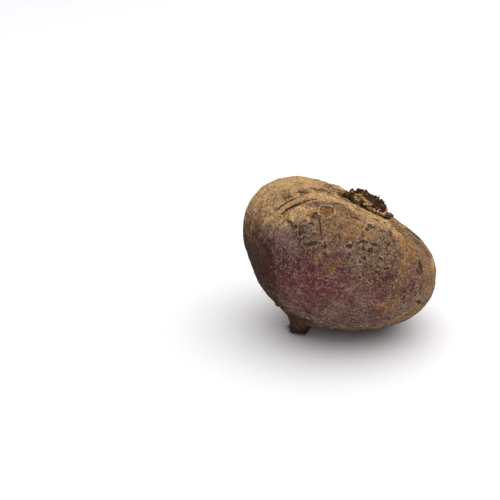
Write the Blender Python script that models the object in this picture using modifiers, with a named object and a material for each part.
"""A harvested beetroot, lying on its side on a flat surface.

The root is one solid: a turned outline, pushed out of round by lumps, folds and rings that follow formulas,
with the broken strands of its tail fused on. The dried leaf bases on its crown are a second solid, fused from
a low core and a spiral of short stubs. Metres, +Z up, the origin under the middle of the beetroot.
"""

import math
import random

import bmesh
import bpy
from mathutils import Matrix, Vector, noise

MM = 0.001

# How the root lies: its axis leans from upright, crown end to the right and to the back
LEAN_RIGHT = math.radians(27.5)
LEAN_BACK = math.radians(15.5)

# The outline of the round root, from the crown down to the tail: (radius, height along the axis)
ROOT_OUTLINE = [
    (0, 22.8 * MM),
    (5.5 * MM, 22.7 * MM),
    (11 * MM, 22.3 * MM),
    (18 * MM, 22.4 * MM),
    (26.6 * MM, 22.2 * MM),
    (33.6 * MM, 20.2 * MM),
    (39 * MM, 16.6 * MM),
    (43 * MM, 11 * MM),
    (44.8 * MM, 4.5 * MM),
    (44.7 * MM, -2 * MM),
    (42.9 * MM, -8 * MM),
    (39 * MM, -14.4 * MM),
    (32.6 * MM, -20.8 * MM),
    (24.6 * MM, -26.2 * MM),
    (16 * MM, -30.4 * MM),
    (8.8 * MM, -33.5 * MM),
    (5 * MM, -35.7 * MM),
    (4.2 * MM, -37.8 * MM),
    (4.3 * MM, -39.2 * MM),
    (0, -39.8 * MM),
]
TURN_STEPS = 76
RING_SPACING = 2.3 * MM
TAIL_RADIUS = 4.3 * MM
TAIL_MIDDLE = 1.8 * MM
TAIL_END = -39.2 * MM
CROWN_TOP = 22.8 * MM

# The body is a little flatter front to back. Below its middle it hangs to the left, and the tail turns right
FRONT_BACK_SHARE = 0.95
TAIL_SLOPE = math.tan(math.radians(24))
MIDDLE_LINE = [
    (-12 * MM, 0),
    (-28 * MM, -1.7 * MM),
    (-33 * MM, -1.5 * MM),
    (-39.8 * MM, TAIL_MIDDLE),
]

# Lumps and hollows: (turn about the axis, distance from it, height, width, rise), hollows with a negative rise
LUMPS = [
    (178, 38 * MM, 14 * MM, 14 * MM, -1.3 * MM),
    (135, 20 * MM, 21 * MM, 11 * MM, 1.8 * MM),
    (40, 27 * MM, 19 * MM, 14 * MM, 1.3 * MM),
    (12, 37 * MM, 14 * MM, 13 * MM, 1.1 * MM),
    (-75, 25 * MM, 19 * MM, 13 * MM, 0.5 * MM),
    (-95, 41 * MM, -4 * MM, 20 * MM, 1.2 * MM),
    (200, 36 * MM, -18 * MM, 14 * MM, -0.6 * MM),
    (38, 27 * MM, -26 * MM, 15 * MM, 1.4 * MM),
    (-35, 30 * MM, -24 * MM, 16 * MM, 0.9 * MM),
]

# Folds that run out from the crown between the lobes of the shoulders: (turn, depth, width). They start at one
# distance from the axis and are whole at another, and they run out downwards between two heights
FOLDS = [
    (-140, 3 * MM, 3.8 * MM),
    (4, 1.8 * MM, 3.2 * MM),
    (92, 2.2 * MM, 4.4 * MM),
]

FOLD_OUT = (10 * MM, 24 * MM)
FOLD_HEIGHTS = (0, 15 * MM)

# Rings of growth round the crown and wrinkles round the tail. Each kind fades in between two heights, and between
# two distances from the axis
RING_RISE = 0.18 * MM
RING_PITCH = 4.1 * MM
RING_SWAY = 0.5
CROWN_RING_HEIGHTS = (10 * MM, 16 * MM)
CROWN_RING_OUT = (9 * MM, 13 * MM)
TAIL_RING_DEPTHS = (26 * MM, 31 * MM)
TAIL_RING_OUT = (5 * MM, 8 * MM)

UNEVEN_RISE = 0.7 * MM
UNEVEN_SIZE = 17 * MM

# The tail's end is smooth and slopes: the lumps fade out above it, and the slope fades in
TAIL_CALM = 9 * MM
TAIL_SLOPE_DEPTHS = (34.8 * MM, 38 * MM)

# The root lies on a small flat spot, pressed where its weight rests, and on the end of its tail
FLAT_SPOT_DEPTH = 0.45 * MM
FLOOR_BLOCK = 120 * MM
TAIL_TOP = TAIL_END + 8 * MM

# Broken strands round the tail's end: how far they stray from even spacing, their places out from the tail's middle
# as shares of its radius, how deep their roots are sunk, how far they splay, and their lengths as shares
STRANDS = 11
STRAND_LENGTH = 2.6 * MM
STRAND_RADIUS = 0.75 * MM
STRAND_SIDES = 5
STRAND_STRAY = 0.3
STRAND_OUT = (0.55, 0.85)
STRAND_SUNK = 1.2 * MM
STRAND_SPLAY = (0.1, 0.5)
STRAND_SHARES = (0.6, 1.0)

# The crown of dried leaf bases: a low uneven core, a spiral of short stubs on it, and scales round its foot
CROWN_MIDDLE = 1.6 * MM
CROWN_LENGTH = 10.3 * MM
CROWN_BREADTH = 8 * MM
CROWN_RISE = 6.7 * MM
CROWN_SUNK = 0.8 * MM
CROWN_SEGMENTS = 30
CROWN_RINGS = 16
CROWN_UNEVEN = 0.9 * MM
CROWN_UNEVEN_SIZE = 3.4 * MM
STUBS = 36
STUB_RADIUS = 1.5 * MM
STUB_LENGTH = 3.4 * MM
STUB_SHARES = (0.6, 1.1)
STUB_SUNK = 0.62
STUB_LEAN = 0.3
STUB_UPWARDS = 0.35
STUB_WIDTHS = (0.9, 1.7)
STUB_DEPTHS = (0.6, 0.9)
STUB_HIGHEST = 0.98
STUB_LOWEST = 0.18
SCALES = 17
SCALE_RADIUS = 1.7 * MM
SCALE_LENGTH = 6 * MM
SCALE_SHARES = (0.6, 1.0)
SCALE_SUNK = 0.5
SCALE_STRAY = 0.3
SCALE_LIFT = (0, 0.22)
SCALE_WIDTHS = (1.0, 1.5)
SCALE_THICKNESS = 0.5
SCALE_HEIGHT = 0.2
PEG_SIDES = 6
PEG_TIP = 0.6
STRAND_TIP = 1 / 3
GOLDEN_TURN = math.pi * (3 - math.sqrt(5))
CLEARANCE = 0.3 * MM

# Colours as light values, and how rough each surface is
SKIN_COLOUR = (0.2, 0.1, 0.07)
SKIN_ROUGHNESS = 0.75
LEAF_COLOUR = (0.045, 0.026, 0.015)
LEAF_ROUGHNESS = 0.9
SHARP_ANGLE = math.radians(50)

SEED = 7


def clear_scene():
    for obj in list(bpy.data.objects):
        bpy.data.objects.remove(obj)


def new_collection(name):
    collection = bpy.data.collections.new(name)
    bpy.context.scene.collection.children.link(collection)
    return collection


def move_to(obj, collection):
    for holder in list(obj.users_collection):
        holder.objects.unlink(obj)
    collection.objects.link(obj)


def material(name, colour, roughness):
    made = bpy.data.materials.new(name)
    made.use_nodes = True
    shader = made.node_tree.nodes["Principled BSDF"]
    shader.inputs["Base Color"].default_value = (*colour, 1)
    shader.inputs["Roughness"].default_value = roughness
    shader.inputs["Metallic"].default_value = 0
    return made


def smooth_step(value, start, end):
    share = min(1, max(0, (value - start) / (end - start)))
    return share * share * (3 - 2 * share)


def bell(distance, width):
    return math.exp(-((distance / width) ** 2))


def smooth_line(points, spacing):
    """Points about this far apart on a smooth curve through the given ones."""
    ends = [points[0]] + list(points) + [points[-1]]
    line = []
    for before, start, end, after in zip(ends, ends[1:], ends[2:], ends[3:]):
        before, start, end, after = map(Vector, (before, start, end, after))
        steps = max(1, round((end - start).length / spacing))
        for step in range(steps):
            t = step / steps
            line.append(
                start
                + (end - before) * (t / 2)
                + (before * 2 - start * 5 + end * 4 - after) * (t * t / 2)
                + (start * 3 - before - end * 3 + after) * (t * t * t / 2)
            )
    line.append(Vector(points[-1]))
    return line


def turned_mesh(name, outline, steps):
    """The outline turned about Z by a Screw modifier, as a closed mesh."""
    line = smooth_line(outline, RING_SPACING)
    profile = bpy.data.meshes.new(name)
    profile.from_pydata(
        [(max(point.x, 0), 0, point.y) for point in line],
        [(i, i + 1) for i in range(len(line) - 1)],
        [],
    )
    turned = bpy.data.objects.new(name, profile)
    bpy.context.scene.collection.objects.link(turned)
    screw = turned.modifiers.new("turn", "SCREW")
    screw.steps = screw.render_steps = steps
    screw.use_merge_vertices = True
    screw.merge_threshold = 0.01 * MM
    mesh = evaluated_mesh(turned)
    bpy.data.objects.remove(turned)
    return mesh


def evaluated_mesh(obj):
    bpy.context.view_layer.update()
    graph = bpy.context.evaluated_depsgraph_get()
    return bpy.data.meshes.new_from_object(obj.evaluated_get(graph))


def lump_centres():
    for turn, out, height, width, rise in LUMPS:
        turn = math.radians(turn)
        yield Vector((out * math.cos(turn), out * math.sin(turn), height)), width, rise


def fold_depth(point):
    """The folds between the lobes: deepest on the shoulders, gone at the crown and at the root's middle."""
    out = math.hypot(point.x, point.y)
    along = smooth_step(out, *FOLD_OUT) * smooth_step(point.z, *FOLD_HEIGHTS)
    depth = 0
    for turn, deepest, width in FOLDS:
        turned = math.atan2(point.y, point.x) - math.radians(turn)
        if math.cos(turned) > 0:
            depth += deepest * bell(out * math.sin(turned), width)
    return depth * along


def middle_shift(height):
    """How far the middle of the root lies to the right at this height."""
    for (above, start), (below, end) in zip(MIDDLE_LINE, MIDDLE_LINE[1:]):
        if height >= below:
            return start + (end - start) * smooth_step(-height, -above, -below)
    return MIDDLE_LINE[-1][1]


def ring_rise(point):
    """Low rings of growth, on the shoulders and round the tail."""
    out = math.hypot(point.x, point.y)
    shoulder = smooth_step(point.z, *CROWN_RING_HEIGHTS) * smooth_step(out, *CROWN_RING_OUT)
    tail = smooth_step(-point.z, *TAIL_RING_DEPTHS) * smooth_step(out, *TAIL_RING_OUT)
    wave = math.sin(math.tau * (out / RING_PITCH + RING_SWAY * math.sin(2 * math.atan2(point.y, point.x))))
    return RING_RISE * wave * (shoulder + tail)


def grow_uneven(mesh):
    """Moves the turned root's points out of round, along their normals."""
    lumps = list(lump_centres())
    normals = [vertex.normal.copy() for vertex in mesh.vertices]
    for vertex, normal in zip(mesh.vertices, normals):
        point = vertex.co.copy()
        rise = sum(height * bell((point - centre).length, width) for centre, width, height in lumps)
        rise += UNEVEN_RISE * noise.noise(point / UNEVEN_SIZE)
        at_end = smooth_step(point.z, TAIL_END, TAIL_END + TAIL_CALM)
        rise = rise * at_end + ring_rise(point) - fold_depth(point)
        grown = point + normal * rise
        slope = TAIL_SLOPE * smooth_step(-point.z, *TAIL_SLOPE_DEPTHS)
        vertex.co = Vector((
            grown.x + middle_shift(point.z),
            grown.y * FRONT_BACK_SHARE,
            grown.z + grown.x * slope,
        ))


def lying_turn():
    return Matrix.Rotation(-LEAN_BACK, 4, "X") @ Matrix.Rotation(LEAN_RIGHT, 4, "Y")


def press_flat_spot(root, placed, guides):
    """Cuts the lowest part of the lying root off flat, and the tail's end at the same level."""
    body = [placed @ vertex.co for vertex in root.data.vertices if vertex.co.z > TAIL_TOP]
    level = min(point.z for point in body) + FLAT_SPOT_DEPTH
    bpy.ops.mesh.primitive_cube_add(size=FLOOR_BLOCK)
    block = bpy.context.object
    block.name = "floor_cutter"
    block.hide_render = True
    block.display_type = "WIRE"
    move_to(block, guides)
    block.data.transform(placed.inverted() @ Matrix.Translation((0, 0, level - FLOOR_BLOCK / 2)))
    cut_away(root, block)


def tapered_peg(collection, name, radius, tip_radius, length, sides, placed):
    """A short tapered peg that starts at the origin of its placement and points along its +Z."""
    bpy.ops.mesh.primitive_cone_add(
        vertices=sides, radius1=radius, radius2=tip_radius, depth=length, end_fill_type="NGON"
    )
    peg = bpy.context.object
    peg.name = name
    peg.data.transform(placed @ Matrix.Translation((0, 0, length / 2)))
    move_to(peg, collection)
    return peg


def fuse(obj, collection):
    """Joins a collection's solids to the object by one Boolean union, and removes them."""
    union = obj.modifiers.new("fuse", "BOOLEAN")
    union.operation = "UNION"
    union.operand_type = "COLLECTION"
    union.collection = collection
    union.solver = "MANIFOLD"
    fused = evaluated_mesh(obj)
    obj.modifiers.clear()
    obj.data = fused
    for piece in list(collection.objects):
        bpy.data.objects.remove(piece)
    bpy.data.collections.remove(collection)


def cut_away(obj, cutter):
    """Takes the cutter's space out of the object, and removes the cutter."""
    cut = obj.modifiers.new("cut", "BOOLEAN")
    cut.operation = "DIFFERENCE"
    cut.object = cutter
    cut.solver = "MANIFOLD"
    remaining = evaluated_mesh(obj)
    obj.modifiers.clear()
    obj.data = remaining
    bpy.data.objects.remove(cutter)


def add_tail_strands(root):
    """The tail snapped off when the root was pulled: its strands stand round the break."""
    draw = random.Random(SEED)
    strands = new_collection("strands")
    for index in range(STRANDS):
        turn = math.tau * (index + draw.uniform(-STRAND_STRAY, STRAND_STRAY)) / STRANDS
        out = TAIL_RADIUS * draw.uniform(*STRAND_OUT)
        start = Vector((
            TAIL_MIDDLE + out * math.cos(turn),
            out * math.sin(turn),
            TAIL_END + STRAND_SUNK + TAIL_SLOPE * out * math.cos(turn),
        ))
        splay = draw.uniform(*STRAND_SPLAY)
        heading = Vector((math.cos(turn) * splay + TAIL_SLOPE, math.sin(turn) * splay, -1))
        placed = Matrix.Translation(start) @ heading.to_track_quat("Z", "X").to_matrix().to_4x4()
        length = STRAND_LENGTH * draw.uniform(*STRAND_SHARES)
        tapered_peg(strands, "strand", STRAND_RADIUS, STRAND_RADIUS * STRAND_TIP, length, STRAND_SIDES, placed)
    fuse(root, strands)


def make_root(parts, guides, placed):
    mesh = turned_mesh("root", ROOT_OUTLINE, TURN_STEPS)
    grow_uneven(mesh)
    root = bpy.data.objects.new("root", mesh)
    parts.objects.link(root)
    add_tail_strands(root)
    press_flat_spot(root, placed, guides)
    root.data.materials.clear()
    root.data.materials.append(material("beet_skin", SKIN_COLOUR, SKIN_ROUGHNESS))
    return root


def swollen_copy(obj, amount, collection):
    """A guide the same shape as the object, larger all over by the amount."""
    mesh = obj.data.copy()
    normals = [vertex.normal.copy() for vertex in mesh.vertices]
    for vertex, normal in zip(mesh.vertices, normals):
        vertex.co += normal * amount
    swollen = bpy.data.objects.new(obj.name + "_cutter", mesh)
    swollen.hide_render = True
    swollen.display_type = "WIRE"
    collection.objects.link(swollen)
    return swollen


def on_crown(turn, height):
    """A point of the crown's core, at this turn and this share of its height, and the way out of it there."""
    out = math.sqrt(1 - height * height)
    across = Vector((out * math.cos(turn), out * math.sin(turn), height))
    sizes = (CROWN_LENGTH, CROWN_BREADTH, CROWN_RISE)
    point = Vector(share * size for share, size in zip(across, sizes))
    outward = Vector(share / size for share, size in zip(across, sizes)).normalized()
    return point + Vector((CROWN_MIDDLE, 0, CROWN_TOP - CROWN_SUNK)), outward


def frame_along(heading):
    """A turn that takes +Z to the heading and keeps X level."""
    side = Vector((-heading.y, heading.x, 0)).normalized()
    across = heading.cross(side)
    return Matrix((side, across, heading)).transposed().to_4x4()


def add_stubs(crown):
    """Leaf bases in the spiral that they grew in, with their roots sunk in the core."""
    draw = random.Random(SEED + 1)
    stubs = new_collection("stubs")
    for index in range(STUBS):
        turn = index * GOLDEN_TURN
        point, outward = on_crown(turn, STUB_HIGHEST - (STUB_HIGHEST - STUB_LOWEST) * (index + 0.5) / STUBS)
        leaning = [draw.uniform(-STUB_LEAN, STUB_LEAN) for side in range(2)]
        heading = (outward + Vector((*leaning, STUB_UPWARDS))).normalized()
        length = STUB_LENGTH * draw.uniform(*STUB_SHARES)
        wide = Matrix.Diagonal((draw.uniform(*STUB_WIDTHS), draw.uniform(*STUB_DEPTHS), 1, 1))
        placed = Matrix.Translation(point - heading * (length * STUB_SUNK)) @ frame_along(heading) @ wide
        tapered_peg(stubs, "stub", STUB_RADIUS, STUB_RADIUS * PEG_TIP, length, PEG_SIDES, placed)
    fuse(crown, stubs)


def add_scales(crown):
    """Flat dry scales round the foot of the crown, lying out over the shoulders."""
    draw = random.Random(SEED + 2)
    scales = new_collection("scales")
    for index in range(SCALES):
        turn = math.tau * (index + draw.uniform(-SCALE_STRAY, SCALE_STRAY)) / SCALES
        point, outward = on_crown(turn, SCALE_HEIGHT)
        heading = Vector((outward.x, outward.y, draw.uniform(*SCALE_LIFT))).normalized()
        length = SCALE_LENGTH * draw.uniform(*SCALE_SHARES)
        flat = Matrix.Diagonal((draw.uniform(*SCALE_WIDTHS), SCALE_THICKNESS, 1, 1))
        placed = Matrix.Translation(point - heading * (length * SCALE_SUNK)) @ frame_along(heading) @ flat
        tapered_peg(scales, "scale", SCALE_RADIUS, SCALE_RADIUS * PEG_TIP, length, PEG_SIDES, placed)
    fuse(crown, scales)


def make_leaf_bases(parts, guides, root):
    bpy.ops.mesh.primitive_uv_sphere_add(segments=CROWN_SEGMENTS, ring_count=CROWN_RINGS, radius=1)
    crown = bpy.context.object
    crown.name = "leaf_bases"
    move_to(crown, parts)
    for vertex in crown.data.vertices:
        turn = math.atan2(vertex.co.y, vertex.co.x)
        point, outward = on_crown(turn, min(1, max(-1, vertex.co.z)))
        vertex.co = point + outward * CROWN_UNEVEN * noise.noise(point / CROWN_UNEVEN_SIZE)
    add_stubs(crown)
    add_scales(crown)
    cut_away(crown, swollen_copy(root, CLEARANCE, guides))
    crown.data.materials.clear()
    crown.data.materials.append(material("dry_leaf_base", LEAF_COLOUR, LEAF_ROUGHNESS))
    return crown


def lay_down(objects, placed):
    """Lays the pieces on the surface, with the origin under the middle of the whole beetroot."""
    points = [placed @ vertex.co for obj in objects for vertex in obj.data.vertices]
    low = Vector(min(point[axis] for point in points) for axis in range(3))
    high = Vector(max(point[axis] for point in points) for axis in range(3))
    shift = Matrix.Translation((-(low.x + high.x) / 2, -(low.y + high.y) / 2, -low.z))
    for obj in objects:
        obj.matrix_world = shift @ placed


def main():
    clear_scene()
    parts = new_collection("beetroot")
    guides = new_collection("guides")
    placed = lying_turn()
    root = make_root(parts, guides, placed)
    leaf_bases = make_leaf_bases(parts, guides, root)
    lay_down([root, leaf_bases], placed)
    for obj in (root, leaf_bases):
        obj.data.shade_smooth()
        obj.data.set_sharp_from_angle(angle=SHARP_ANGLE)


main()
